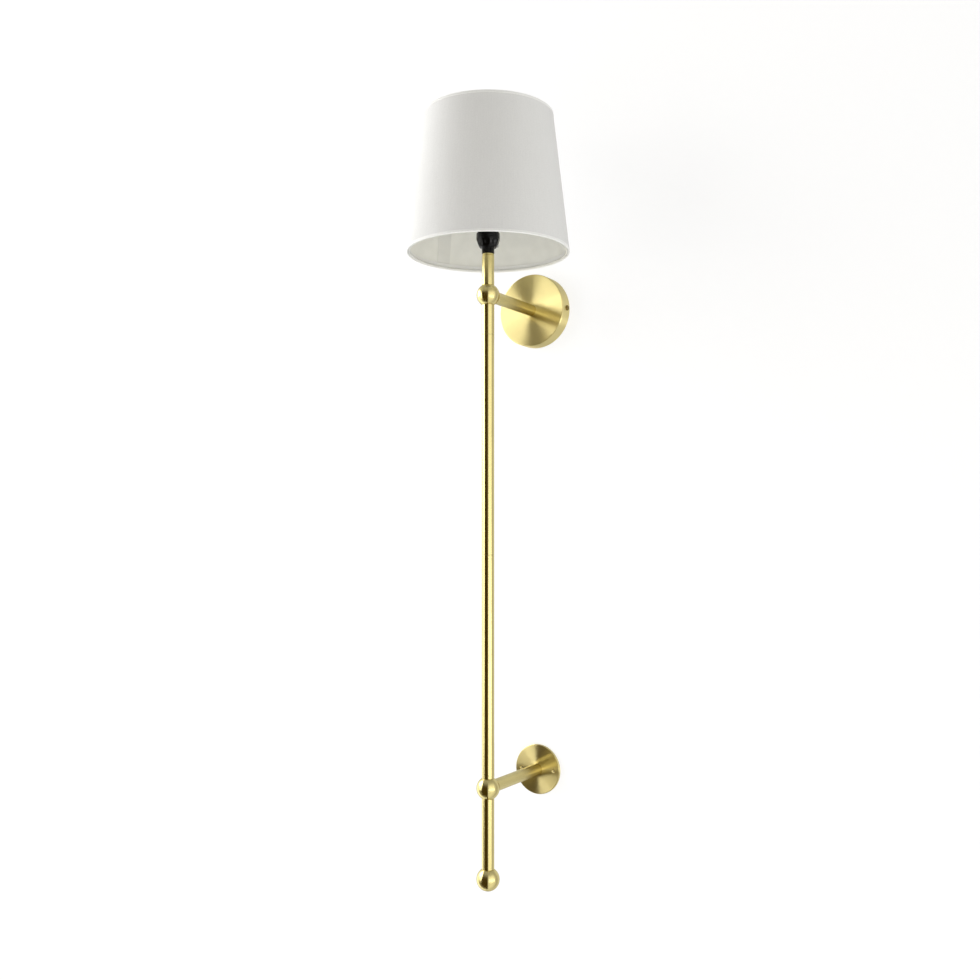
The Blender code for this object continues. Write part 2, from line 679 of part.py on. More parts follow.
def build_holder(group, helpers):
    at = (0.0, -STEM_OUT, HOLDER_Z)
    base = [
        (SKIRT_BORE_R, BASE_TOP),
        (HOLDER_R - 0.4, BASE_TOP),
        (HOLDER_R, BASE_TOP - 0.4),
        (HOLDER_R - 0.2, 17.5),
        (HOLDER_R - 1.0, 14.0),
        (HOLDER_R - 2.2, 10.5),
        (HOLDER_R - 3.4, 8.0),
        (HOLDER_R - 5.0, SHOULDER_Z),
        (NECK_R, SHOULDER_Z),
        (NECK_R, 0.5 - NECK_DROP),
        (NECK_R - 0.5, -NECK_DROP),
        (THREAD_BORE_R, -NECK_DROP),
        (THREAD_BORE_R, CHAMBER_Z),
        (8.0, CHAMBER_Z),
        (SKIRT_BORE_R, 17.0),
    ]
    body = lobed(turned("holder_base", group, BLACK, base, at, steps=32))
    out = Vector((math.cos(LOCK_SCREW_TURN), math.sin(LOCK_SCREW_TURN), 0.0))
    seat = Vector(at) + Vector((0.0, 0.0, LOCK_SCREW_UP))
    cut(body, rod("lock_screw_hole", helpers, None, seat + out * 8.5, seat + out * 18.0, 1.9, 12))
    rod("holder_lock_screw", group, STEEL, seat + out * 8.8, seat + out * 13.6, 1.6, 12)
    stem_nipple("holder_nipple", group, TOP_TUBE_END - NIPPLE_REACH, HOLDER_Z + 9.0)
    insert = [
        (0.0, CUP_FLOOR),
        (CUP_R, CUP_FLOOR),
        (CUP_R, INSERT_TOP),
        (INSERT_R, INSERT_TOP),
        (INSERT_R, INSERT_LOW),
        (0.0, INSERT_LOW),
    ]
    turned("holder_insert", group, CERAMIC, insert, at)
    shell = [
        (SHELL_BORE_R, SHELL_TOP),
        (SHELL_R, SHELL_TOP),
        (SHELL_R, CUP_FLOOR + GAP),
        (SHELL_BORE_R, CUP_FLOOR + GAP),
    ]
    turned("holder_thread_shell", group, BRASS, shell, at)
    contact = [
        (0.0, TIP_Z - GAP),
        (2.0, TIP_Z - GAP - 0.6),
        (3.2, CUP_FLOOR + 1.2),
        (3.2, CUP_FLOOR + GAP),
        (0.0, CUP_FLOOR + GAP),
    ]
    turned("holder_centre_contact", group, BRASS, contact, at, steps=12)
    skirt = [
        (SKIRT_BORE_R, SKIRT_TOP),
        (SKIRT_R - 0.5, SKIRT_TOP),
        (SKIRT_R, SKIRT_TOP - 0.5),
        (SKIRT_R, FLANGE_Z + FLANGE_T),
        (FLANGE_R, FLANGE_Z + FLANGE_T),
        (FLANGE_R, FLANGE_Z),
        (SKIRT_R, FLANGE_Z - 1.5),
        (SKIRT_R, BASE_TOP + GAP),
        (SKIRT_BORE_R, BASE_TOP + GAP),
    ]
    turned("holder_skirt", group, BLACK, skirt, at, steps=24)
    low = FLANGE_Z + FLANGE_T + GAP + HUB_T + GAP
    ring = [
        (RING_BORE_R, low + RING_T),
        (RING_R - 1.0, low + RING_T),
        (RING_R, low + RING_T - 1.0),
        (RING_R, low + 1.0),
        (RING_R - 1.0, low),
        (RING_BORE_R, low),
    ]
    turned("shade_ring", group, BLACK, ring, at, steps=24)


def build_bulb(group):
    at = (0.0, -STEM_OUT, HOLDER_Z)
    cap_low = TIP_Z + 4.0
    tip = [
        (0.0, cap_low + 1.5),
        (4.6, cap_low + 1.5),
        (4.6, cap_low - 0.3),
        (3.0, TIP_Z + 1.2),
        (1.6, TIP_Z),
        (0.0, TIP_Z),
    ]
    turned("bulb_tip", group, CERAMIC, tip, at, steps=16)
    cap = [
        (BULB_CAP_R - 0.5, CAP_TOP),
        (BULB_CAP_R, CAP_TOP - 0.5),
        (BULB_CAP_R, cap_low + 1.0),
        (BULB_CAP_R - 1.4, cap_low),
        (CAP_BORE_R, cap_low),
        (CAP_BORE_R, CAP_TOP),
    ]
    turned("bulb_cap", group, STEEL, cap, at)
    globe_z = CAP_TOP + 29.0
    seat = CAP_TOP + GAP
    waist = math.degrees(math.asin((globe_z - seat - 9.0) / GLOBE_R))
    dome = arc(0, globe_z, GLOBE_R, 90, -waist, 10)
    hollow = arc(0, globe_z, GLOBE_R - GLOBE_WALL, -waist, 90, 8)
    globe = [
        (0.0, globe_z + GLOBE_R),
        *dome[1:],
        (GLOBE_NECK_R + 0.6, seat + 4.0),
        (GLOBE_NECK_R, seat),
        (CAP_BORE_R + GAP, seat),
        (GLOBE_NECK_R - 1.0, seat + 4.5),
        *hollow[:-1],
        (0.0, globe_z + GLOBE_R - GLOBE_WALL),
    ]
    turned("bulb_globe", group, OPAL, globe, at)
    board = [
        (0.0, seat + 16.0),
        (4.2, seat + 16.0),
        (4.2, CAP_TOP - 8.0),
        (0.0, CAP_TOP - 8.0),
    ]
    turned("bulb_led_module", group, CERAMIC, board, at, steps=16)


# ---------------------------------------------------------------- shade


def shade_radius(z):
    """Outer radius of the shade's cover at a height."""
    t = (z - SHADE_BOTTOM_Z) / (SHADE_TOP_Z - SHADE_BOTTOM_Z)
    return SHADE_BOTTOM_R + (SHADE_TOP_R - SHADE_BOTTOM_R) * t


def build_shade(group):
    axis = (0.0, -STEM_OUT, 0.0)
    for name, spec, inset, thick, trim in (
        ("shade_cover", LINEN, 0.0, COVER_T, 0.0),
        ("shade_liner", STYRENE, COVER_T + GAP, LINER_T, 0.6),
    ):
        top, bottom = SHADE_TOP_Z - trim, SHADE_BOTTOM_Z + trim
        outer_top, outer_bottom = shade_radius(top) - inset, shade_radius(bottom) - inset
        profile = [
            (outer_top, top),
            (outer_bottom, bottom),
            (outer_bottom - thick, bottom),
            (outer_top - thick, top),
        ]
        turned(name, group, spec, profile, axis, steps=48)
    inset = COVER_T + GAP + LINER_T + GAP + RING_WIRE_R + 0.2
    low_z, high_z = SHADE_BOTTOM_Z + 2.0, SHADE_TOP_Z - 2.0
    low_r, high_r = shade_radius(low_z) - inset, shade_radius(high_z) - inset
    wire_ring("shade_bottom_ring", group, WHITE_WIRE, low_r, RING_WIRE_R, (0.0, -STEM_OUT, low_z))
    wire_ring("shade_top_ring", group, WHITE_WIRE, high_r, RING_WIRE_R, (0.0, -STEM_OUT, high_z))
    hub_low = HOLDER_Z + FLANGE_Z + FLANGE_T + GAP
    hub = [
        (HUB_HOLE_R, hub_low + HUB_T),
        (HUB_R, hub_low + HUB_T),
        (HUB_R, hub_low),
        (HUB_HOLE_R, hub_low),
    ]
    turned("shade_hub", group, WHITE_WIRE, hub, axis, steps=24)
    hub_mid = hub_low + HUB_T / 2
    start_r = HUB_R + ARM_WIRE_R + 0.4
    end_r = high_r - RING_WIRE_R - ARM_WIRE_R - 0.4
    for number, angle in enumerate(ARM_ANGLES, 1):
        out = Vector((math.cos(math.radians(angle)), math.sin(math.radians(angle)), 0.0))
        foot = Vector((0.0, -STEM_OUT, hub_mid)) + out * start_r
        head = Vector((0.0, -STEM_OUT, high_z)) + out * end_r
        along = (head - foot).normalized()
        route = [foot + Vector((0, 0, -0.4)), foot + out * 3.0 + along * 1.5]
        route += [head - along * 6.0, head]
        bent_wire(f"shade_arm_{number}", group, WHITE_WIRE, route, ARM_WIRE_R)


def main():
    clear_scene()
    light = collection("wall_light")
    helpers = collection("cutters")
    build_stem(light, helpers)
    build_arms(light)
    build_canopy(light, helpers)
    build_bracket(light, helpers)
    build_lower_plate(light, helpers)
    build_terminals(light, helpers)
    build_wires(light, build_earth_tag(light, helpers))
    build_holder(light, helpers)
    build_bulb(light)
    build_shade(light)
    finish_shading()


main()
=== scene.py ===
"""Looks for a tall brass wall light with a tapered linen shade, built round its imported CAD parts.

The wall is the plane y = 0, the light stands out from it towards -Y, and +Z is up. Turned pieces are
modelled about their own Z and then stood on the stem's axis or laid along an arm's. Sizes of pieces are
millimetres, and the studio's are metres. Places come from the CAD parts.
"""

import math

import bmesh
import bpy
from mathutils import Matrix, Vector


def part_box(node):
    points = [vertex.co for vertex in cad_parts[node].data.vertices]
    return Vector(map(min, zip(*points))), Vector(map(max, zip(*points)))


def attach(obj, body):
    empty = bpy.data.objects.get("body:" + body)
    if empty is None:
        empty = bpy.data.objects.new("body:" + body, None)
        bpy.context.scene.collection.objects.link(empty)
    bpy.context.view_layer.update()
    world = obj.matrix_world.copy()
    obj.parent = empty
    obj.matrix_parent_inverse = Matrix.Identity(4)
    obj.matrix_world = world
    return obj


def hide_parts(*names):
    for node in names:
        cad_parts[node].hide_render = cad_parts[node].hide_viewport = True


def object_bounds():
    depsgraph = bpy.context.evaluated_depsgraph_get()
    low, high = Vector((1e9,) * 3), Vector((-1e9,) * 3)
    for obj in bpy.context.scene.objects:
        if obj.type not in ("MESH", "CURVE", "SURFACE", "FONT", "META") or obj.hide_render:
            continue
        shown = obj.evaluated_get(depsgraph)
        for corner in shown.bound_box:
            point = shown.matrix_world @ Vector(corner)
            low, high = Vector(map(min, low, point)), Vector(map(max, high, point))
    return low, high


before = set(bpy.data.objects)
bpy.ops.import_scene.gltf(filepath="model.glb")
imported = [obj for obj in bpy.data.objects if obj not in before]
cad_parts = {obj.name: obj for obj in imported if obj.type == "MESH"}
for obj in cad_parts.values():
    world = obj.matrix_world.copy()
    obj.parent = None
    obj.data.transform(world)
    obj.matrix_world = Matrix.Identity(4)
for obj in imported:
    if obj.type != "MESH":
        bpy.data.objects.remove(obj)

CAD_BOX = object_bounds()
MM = 0.001
SENSOR_WIDTH = 36.0
CAMERA_AT = Vector((0.7336, -1.3341, -0.3059))
CAMERA_YAW = math.radians(31.335)
CAMERA_PITCH = math.radians(2.15)
LENS = 40.1
# The room's bands: degrees to the right of the camera, seen from the light, and colour before ROOM_GAIN
ROOM_GAIN = 2.0
ROOM_BANDS = (
    (-160.0, (0.30, 0.30, 0.29)),
    (-124.0, (0.90, 0.90, 0.88)),
    (-108.0, (0.60, 0.60, 0.58)),
    (-100.0, (0.12, 0.11, 0.08)),
    (-66.0, (0.030, 0.019, 0.002)),
    (-32.0, (0.032, 0.020, 0.002)),
    (-4.0, (0.030, 0.019, 0.002)),
    (2.0, (0.46, 0.455, 0.425)),
    (40.0, (0.50, 0.495, 0.47)),
    (78.0, (0.40, 0.395, 0.385)),
    (95.0, (0.24, 0.235, 0.23)),
    (130.0, (0.40, 0.40, 0.39)),
)
CEILING = (0.22, 0.22, 0.215)
BACKDROP = 0.93
# name, degrees right of the camera, distance, width, lower and upper edge in metres, radiance
SOFT_BOXES = (
    ("window_low", -84.0, 1.8, 1.05, -0.95, -0.15, 2.0),
    ("window_left", -84.0, 1.8, 1.15, -0.15, 0.6, 3.2),
    ("window_high", -93.0, 1.8, 0.70, 0.6, 1.3, 4.0),
    ("window_far", -110.0, 2.0, 0.70, 0.0, 1.4, 6.0),
    ("fill_right", 41.0, 2.4, 2.8, -0.9, 1.2, 0.3),
    ("fill_low", 38.0, 1.9, 2.2, -1.0, -0.5, 2.0),
)
FLOOR_GLOW = 0.55  # radiance of the pale panel that lights the inside of the shade from below
FLOOR_GLOW_SIDE = 2.2
FLOOR_GLOW_OUT = 0.9  # from the wall to the panel's middle
ROOM_WIDTH = 9.0
WALL_TALL = 4.2
WALL_LIFT = 0.3  # from the light's middle to the wall's
FLOOR_DROP = 0.55  # from the light's lowest point
WALL_BEHIND = 0.0012
HOLE_SHADE_BEHIND = 0.0006


# ---------------------------------------------------------------- places, read from the CAD parts


def low(node):
    return Vector(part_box(node)[0]) / MM


def high(node):
    return Vector(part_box(node)[1]) / MM


def middle(node):
    return (low(node) + high(node)) / 2


def half_width(node):
    return (high(node).x - low(node).x) / 2


def shade_top_radius():
    """The CAD cover's radius at its top edge."""
    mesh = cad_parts["shade_cover"].data
    tops = [v.co for v in mesh.vertices if v.co.z > (SHADE_HIGH - 0.5) * MM]
    return max(math.hypot(co.x - STEM.x * MM, co.y - STEM.y * MM) for co in tops) / MM


STEM = middle("stem_tube_upper")
UPPER_Z = middle("upper_arm").z
LOWER_Z = middle("lower_arm").z
TUBE_R = half_width("stem_tube_upper")
BALL_R = half_width("upper_ball")
FLAT = high("upper_ball").z - UPPER_Z  # centre of a ball to its spot faces
FINIAL_Z = low("finial_ball").z + BALL_R
NECK_DROP = 1.3  # the lampholder's neck goes on this far below the level its heights count from
HOLDER_Z = low("holder_base").z + NECK_DROP
BASE_TOP = high("holder_base").z - HOLDER_Z
HOLDER_R = half_width("holder_base")
FLANGE_R = half_width("holder_skirt")
CANOPY_R = half_width("canopy")
CANOPY_DEPTH = -low("canopy").y
PLATE_R = half_width("lower_wall_plate")
PLATE_DEPTH = -low("lower_wall_plate").y
SHADE_LOW = low("shade_cover").z
SHADE_HIGH = high("shade_cover").z
SHADE_BOTTOM_R = half_width("shade_cover")
SHADE_TOP_R = shade_top_radius()
RIM_SCREW = middle("canopy_screw_right")
SEAM = 0.06  # half of the hairline between two brass pieces
BORE = 5.4  # for the M10 rods that join the brass pieces
LAP_AZIMUTH = 158.0  # the shade's vertical joint, in degrees from +X


def on_stem(z):
    return Matrix.Translation(Vector((STEM.x, STEM.y, z)) * MM)


def out_of_wall(z):
    """A turned piece's own Z points out of the wall, and its foot is on the wall."""
    return Matrix.Translation(Vector((STEM.x, 0.0, z)) * MM) @ Matrix.Rotation(math.pi / 2, 4, "X")


# ---------------------------------------------------------------- material nodes


class Paint:
    """One procedural material. Its methods add nodes and give back the socket that they end in."""

    def __init__(self, name):
        self.material = bpy.data.materials.new(name)
        self.material.use_nodes = True
        self.tree = self.material.node_tree
        self.shader = self.tree.nodes["Principled BSDF"]
        self.object_space = self.node("ShaderNodeTexCoord").outputs["Object"]

    def node(self, kind, inputs=None, **settings):
        made = self.tree.nodes.new(kind)
        for name, value in settings.items():
            setattr(made, name, value)
        for name, value in (inputs or {}).items():
            self.feed(made.inputs[name], value)
        return made

    def feed(self, socket, value):
        if isinstance(value, bpy.types.NodeSocket):
            self.tree.links.new(value, socket)
        else:
            socket.default_value = value

    def set(self, **inputs):
        for name, value in inputs.items():
            self.feed(self.shader.inputs[name.replace("_", " ")], value)

    def math(self, operation, first, second=0.0, third=0.0):
        made = self.node("ShaderNodeMath", operation=operation)
        for socket, value in zip(made.inputs, (first, second, third)):
            self.feed(socket, value)
        return made.outputs[0]

    def polar(self):
        """Distance from the piece's Z axis, height, cosine and sine of the angle, and the angle."""
        parts = self.node("ShaderNodeSeparateXYZ", {"Vector": self.object_space})
        x, y, z = parts.outputs
        square = self.math("ADD", self.math("MULTIPLY", x, x), self.math("MULTIPLY", y, y))
        radius = self.math("MAXIMUM", self.math("SQRT", square), 1e-6)
        turn = self.math("ARCTAN2", y, x)
        return radius, z, self.math("DIVIDE", x, radius), self.math("DIVIDE", y, radius), turn

    def vector(self, x, y, z):
        return self.node("ShaderNodeCombineXYZ", {"X": x, "Y": y, "Z": z}).outputs[0]

    def wrapped(self, cosine, sine, height, around, up):
        """Noise space on a turned piece: how fast it changes round the piece and up it."""
        x, y = self.math("MULTIPLY", cosine, around), self.math("MULTIPLY", sine, around)
        return self.vector(x, y, self.math("MULTIPLY", height, up))

    def noise(self, scale, detail=2.0, vector=None, w=None, roughness=0.5):
        inputs = {"Scale": scale, "Detail": detail, "Roughness": roughness}
        inputs["Vector"] = self.object_space if vector is None else vector
        made = self.node("ShaderNodeTexNoise", noise_dimensions="3D" if w is None else "4D")
        if w is not None:
            inputs["W"] = w
        for name, value in inputs.items():
            self.feed(made.inputs[name], value)
        return made.outputs["Fac"]

    def spread(self, value, low_out, high_out, low_in=0.3, high_in=0.7):
        inputs = {"Value": value, "From Min": low_in, "From Max": high_in}
        inputs |= {"To Min": low_out, "To Max": high_out}
        return self.node("ShaderNodeMapRange", inputs).outputs["Result"]

    def mix(self, factor, first, second):
        made = self.node("ShaderNodeMix", data_type="RGBA")
        self.feed(made.inputs[0], factor)
        for socket, value in ((made.inputs[6], first), (made.inputs[7], second)):
            self.feed(socket, (*value, 1.0) if isinstance(value, tuple) else value)
        return made.outputs[2]

    def bump(self, height, depth_mm, strength=1.0):
        inputs = {"Height": height, "Distance": depth_mm * MM, "Strength": strength}
        self.feed(self.shader.inputs["Normal"], self.node("ShaderNodeBump", inputs).outputs["Normal"])


def turned_brass(name, tone, rough, anisotropy):
    """Lacquered brass with the fine rings that an abrasive leaves on a turning piece."""
    paint = Paint(name)
    rings_per_m, swells_per_m = 2600.0, 420.0
    radius, height, cosine, sine, _ = paint.polar()
    across = paint.wrapped(cosine, sine, height, 0.9, rings_per_m)
    outwards = paint.math("MULTIPLY", radius, rings_per_m)
    lines = paint.noise(1.0, 3.0, across, outwards, 0.7)
    tarnish = paint.noise(55.0, 4.0)
    colour = paint.mix(paint.spread(tarnish, 0.0, 1.0), tone, tuple(0.94 * c for c in tone))
    colour = paint.mix(paint.spread(lines, 0.0, 0.15), colour, tuple(0.78 * c for c in tone))
    uneven = paint.math("ADD", paint.spread(lines, -0.012, 0.018), paint.spread(tarnish, -0.008, 0.012))
    paint.set(Base_Color=colour, Metallic=1.0, Roughness=paint.math("ADD", uneven, rough))
    paint.set(Anisotropic=anisotropy, Anisotropic_Rotation=0.25)
    tangent = paint.node("ShaderNodeTangent", direction_type="RADIAL", axis="Z").outputs["Tangent"]
    paint.set(Tangent=tangent)
    along = paint.wrapped(cosine, sine, height, 0.2, swells_per_m)
    swell = paint.noise(1.0, 1.0, along, paint.math("MULTIPLY", radius, swells_per_m))
    paint.bump(swell, 0.0007)
    return paint.material


def plated_steel(name="zinc_plated_steel", colour=(0.62, 0.63, 0.65)):
    """Zinc plating: a faint spangle and small scuffs."""
    paint = Paint(name)
    spangle = paint.node("ShaderNodeTexVoronoi", {"Vector": paint.object_space, "Scale": 900.0})
    scuffs = paint.noise(140.0, 5.0)
    tone = paint.spread(spangle.outputs["Distance"], 0.0, 0.35, 0.0, 1.0)
    shade = paint.mix(tone, colour, tuple(0.72 * c for c in colour))
    paint.set(Base_Color=shade, Metallic=1.0, Roughness=paint.spread(scuffs, 0.26, 0.46))
    paint.bump(scuffs, 0.02)
    return paint.material


def moulded(name, colour, rough, grain_mm=0.01, grain_scale=1600.0, specks=0.06, **extra):
    """A moulded or coated surface: fine grain, and a colour that drifts a little."""
    paint = Paint(name)
    grain = paint.noise(grain_scale, 3.0)
    drift = paint.noise(60.0, 3.0)
    darker = tuple(c * (1.0 - 3.0 * specks) for c in colour)
    paint.set(Base_Color=paint.mix(paint.spread(drift, 0.0, 1.0), colour, darker))
    paint.set(Roughness=paint.spread(grain, rough * 0.85, rough * 1.2), **extra)
    paint.bump(grain, grain_mm)
    return paint.material


def linen(name="linen_weave", colour=(0.84, 0.84, 0.835)):
    """Plain weave with slubs: warp up the shade, weft round it, drawn from the piece's angle and height."""
    paint = Paint(name)
    _, height, cosine, sine, turn = paint.polar()
    warp_count, weft_pitch = 1180.0, 0.52 * MM  # threads round the shade, and their spacing up it
    warp = paint.math("SINE", paint.math("MULTIPLY", turn, warp_count / 2))
    weft = paint.math("SINE", paint.math("MULTIPLY", height, math.pi / weft_pitch))
    over = paint.math("MULTIPLY", warp, weft)
    threads = paint.math("MAXIMUM", paint.math("ABSOLUTE", warp), paint.math("ABSOLUTE", weft))
    weft_slubs = paint.noise(1.0, 2.0, paint.wrapped(cosine, sine, height, 48.0, 1500.0))
    warp_slubs = paint.noise(1.0, 2.0, paint.wrapped(cosine, sine, height, 150.0, 45.0))
    along_weft = paint.spread(weft_slubs, 0.0, 0.6, 0.35, 0.75)
    slubs = paint.math("ADD", along_weft, paint.spread(warp_slubs, 0.0, 0.4, 0.35, 0.75))
    darker = tuple(c * 0.88 for c in colour)
    tone = paint.mix(paint.spread(slubs, 0.0, 0.75, 0.0, 1.0), colour, darker)
    tone = paint.mix(paint.spread(over, 0.0, 0.16, -1.0, 1.0), tone, tuple(c * 0.7 for c in colour))
    paint.set(Base_Color=tone, Roughness=paint.spread(slubs, 0.82, 0.95, 0.0, 1.0))
    paint.set(Sheen_Weight=0.15, Sheen_Roughness=0.5, Specular_IOR_Level=0.25)
    height_of = paint.math("ADD", paint.math("MULTIPLY", threads, 0.5), paint.math("MULTIPLY", slubs, 0.5))
    paint.bump(height_of, 0.12, 0.8)
    return paint.material


def striped_insulation():
    """Green insulation with a yellow stripe along it."""
    paint = Paint("green_yellow_insulation")
    bands = paint.node("ShaderNodeTexWave", {"Vector": paint.object_space, "Scale": 260.0, "Distortion": 1.5})
    stripe = paint.spread(bands.outputs["Fac"], 0.0, 1.0, 0.45, 0.55)
    paint.set(Base_Color=paint.mix(stripe, (0.03, 0.22, 0.04), (0.72, 0.62, 0.03)), Roughness=0.42)
    paint.bump(paint.noise(900.0), 0.01)
    return paint.material


# ---------------------------------------------------------------- shapes


def arc(centre_r, centre_h, radius, start, end, steps):
    """Points of an arc in a turned profile. Angles in degrees, 0 outwards and 90 up."""
    angles = [math.radians(start + (end - start) * i / steps) for i in range(steps + 1)]
    return [(centre_r + radius * math.cos(a), centre_h + radius * math.sin(a)) for a in angles]


def ruled(profile, spacing):
    """The same profile with points no further apart than `spacing` mm."""
    points = [profile[0]]
    for (r0, h0), (r1, h1) in zip(profile, profile[1:]):
        steps = max(1, math.ceil(math.hypot(r1 - r0, h1 - h0) / spacing))
        points += [(r0 + (r1 - r0) * i / steps, h0 + (h1 - h0) * i / steps) for i in range(1, steps + 1)]
    return points


def held(profile, closed=False):
    """The same profile with a point just inside each end of its long runs, which keeps their shading flat."""
    inset, long_run = 0.15, 0.8
    corners = profile + profile[:1] if closed else profile
    points = []
    for (r0, h0), (r1, h1) in zip(corners, corners[1:]):
        points.append((r0, h0))
        run = math.hypot(r1 - r0, h1 - h0)
        if run > long_run:
            t = inset / run
            points += [(r0 + (r1 - r0) * s, h0 + (h1 - h0) * s) for s in (t, 1 - t)]
    return points if closed else points + profile[-1:]


def turned_mesh(profile, steps=96, closed=False, push=None):
    """A bmesh turned about Z from (radius, height) points in mm, running down its outer side.

    push(radius, angle, height) gives a point's new radius, in mm.
    """
    made = bmesh.new()
    points = [made.verts.new((r * MM, 0.0, h * MM)) for r, h in held(profile, closed)]
    ring = list(zip(points, points[1:])) + ([(points[-1], points[0])] if closed else [])
    edges = [made.edges.new(pair) for pair in ring]
    bmesh.ops.spin(
        made,
        geom=points + edges,
        axis=(0.0, 0.0, 1.0),
        cent=(0.0, 0.0, 0.0),
        steps=steps,
        angle=2 * math.pi,
    )
    bmesh.ops.remove_doubles(made, verts=made.verts, dist=0.002 * MM)
    if push is not None:
        for vert in made.verts:
            r = math.hypot(vert.co.x, vert.co.y)
            if r > 0.5 * MM:
                scale = push(r / MM, math.atan2(vert.co.y, vert.co.x), vert.co.z / MM) * MM / r
                vert.co.x *= scale
                vert.co.y *= scale
    bmesh.ops.recalc_face_normals(made, faces=made.faces)
    return made


def piece(name, made, matrix, material, body, crease=32.0):
    """A finished piece from a bmesh: placed, shaded, given its material and put on its body."""
    mesh = bpy.data.meshes.new(name)
    made.to_mesh(mesh)
    made.free()
    mesh.shade_smooth()
    mesh.set_sharp_from_angle(angle=math.radians(crease))
    mesh.materials.append(material)
    obj = bpy.data.objects.new(name, mesh)
    bpy.context.scene.collection.objects.link(obj)
    obj.matrix_world = matrix
    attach(obj, body)
    return obj


def turned(name, profile, matrix, material, body="fixture", **options):
    crease = options.pop("crease", 32.0)
    return piece(name, turned_mesh(profile, **options), matrix, material, body, crease)


def cut_with(made, cutters):
    """The bmesh less each cutter bmesh."""
    holders = []
    for part in (made, *cutters):
        mesh = bpy.data.meshes.new("shape")
        part.to_mesh(mesh)
        part.free()
        holders.append(bpy.data.objects.new("shape", mesh))
        bpy.context.scene.collection.objects.link(holders[-1])
    whole, *tools = holders
    for tool in tools:
        step = whole.modifiers.new("Cut", "BOOLEAN")
        step.operation = "DIFFERENCE"
        step.object = tool
    bpy.context.view_layer.update()
    graph = bpy.context.evaluated_depsgraph_get()
    mesh = bpy.data.meshes.new_from_object(whole.evaluated_get(graph))
    result = bmesh.new()
    result.from_mesh(mesh)
    for holder in holders:
        data = holder.data
        bpy.data.objects.remove(holder)
        bpy.data.meshes.remove(data)
    bpy.data.meshes.remove(mesh)
    return result


def moved(made, matrix):
    bmesh.ops.transform(made, matrix=matrix, verts=made.verts)
    return made


def block(size, matrix=Matrix.Identity(4)):
    """A box of (x, y, z) mm as a bmesh."""
    made = bmesh.new()
    bmesh.ops.create_cube(made, size=1.0)
    bmesh.ops.scale(made, vec=Vector(size) * MM, verts=made.verts)
    return moved(made, matrix)


def at(x, y, z):
    return Matrix.Translation(Vector((x, y, z)) * MM)


def wire(name, route, radius, material, body, matrix):
    """A round wire through points in mm, as a mesh with rounded bends."""
    curve = bpy.data.curves.new(name, "CURVE")
    curve.dimensions = "3D"
    curve.bevel_depth = radius * MM
    curve.bevel_resolution = 5
    curve.use_fill_caps = True
    spline = curve.splines.new("POLY")
    spline.points.add(len(route) - 1)
    for point, place in zip(spline.points, route):
        point.co = (*(Vector(place) * MM), 1.0)
    shown = bpy.data.objects.new(name, curve)
    bpy.context.scene.collection.objects.link(shown)
    bpy.context.view_layer.update()
    mesh = bpy.data.meshes.new_from_object(shown.evaluated_get(bpy.context.evaluated_depsgraph_get()))
    made = bmesh.new()
    made.from_mesh(mesh)
    bpy.data.objects.remove(shown)
    return piece(name, made, matrix, material, body)


# ---------------------------------------------------------------- the brass frame


def tube_profile(length, edge=0.35):
    """The outside of a tube and its ends, in to the bushes' bore."""
    return [
        (BORE, length),
        (TUBE_R - edge, length),
        (TUBE_R - edge * 0.3, length - edge * 0.3),
        (TUBE_R, length - edge),
        (TUBE_R, edge),
        (TUBE_R - edge * 0.3, edge * 0.3),
        (TUBE_R - edge, 0.0),
        (BORE, 0.0),
    ]


def stem_tube(node, start, end, brass, collar=0.0):
    """A tube of the stem. With a collar its top is turned down a little, that far, below a fine groove."""
    length = end - start - 2 * SEAM
    profile = tube_profile(length)
    if collar:
        step, groove = 0.3, 0.35
        end_of_collar = [
            (profile[0][0], length),
            (TUBE_R - 2 * step, length),
            (TUBE_R - step, length - step),
            (TUBE_R - step, length - collar + groove),
            (TUBE_R - 2 * step, length - collar + groove / 2),
            (TUBE_R - step, length - collar),
            (TUBE_R, length - collar - step),
        ]
        profile = end_of_collar + profile[4:]
    tube = turned(f"{node}_skin", profile, on_stem(start + SEAM), brass)
    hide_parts(node)


def arm_tube(node, start, end, z, brass):
    place = out_of_wall(z) @ at(0, 0, start + SEAM)
    tube = turned(f"{node}_skin", tube_profile(end - start - 2 * SEAM), place, brass)
    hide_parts(node)


def ball(node, z, brass, faces_wall):
    """A ball with spot faces where its tubes meet it."""
    rim = math.degrees(math.atan2(FLAT, TUBE_R))
    lowest = -rim if faces_wall else -90.0
    profile = [(0.0, FLAT), (TUBE_R - 0.6, FLAT), *arc(0, 0, BALL_R, rim, lowest, 56)]
    if faces_wall:
        profile += [(TUBE_R - 0.6, -FLAT), (0.0, -FLAT)]
    else:
        profile[-1] = (0.0, -BALL_R)
    made = turned_mesh(profile, steps=128)
    if faces_wall:
        cut = bmesh.ops.bisect_plane(
            made,
            geom=[*made.verts, *made.edges, *made.faces],
            plane_co=(0.0, FLAT * MM, 0.0),
            plane_no=(0.0, 1.0, 0.0),
            clear_outer=True,
        )
        rim_edges = [e for e in cut["geom_cut"] if isinstance(e, bmesh.types.BMEdge)]
        bmesh.ops.contextual_create(made, geom=rim_edges)
    skin = piece(f"{node}_skin", made, on_stem(z), brass, "fixture")
    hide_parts(node)


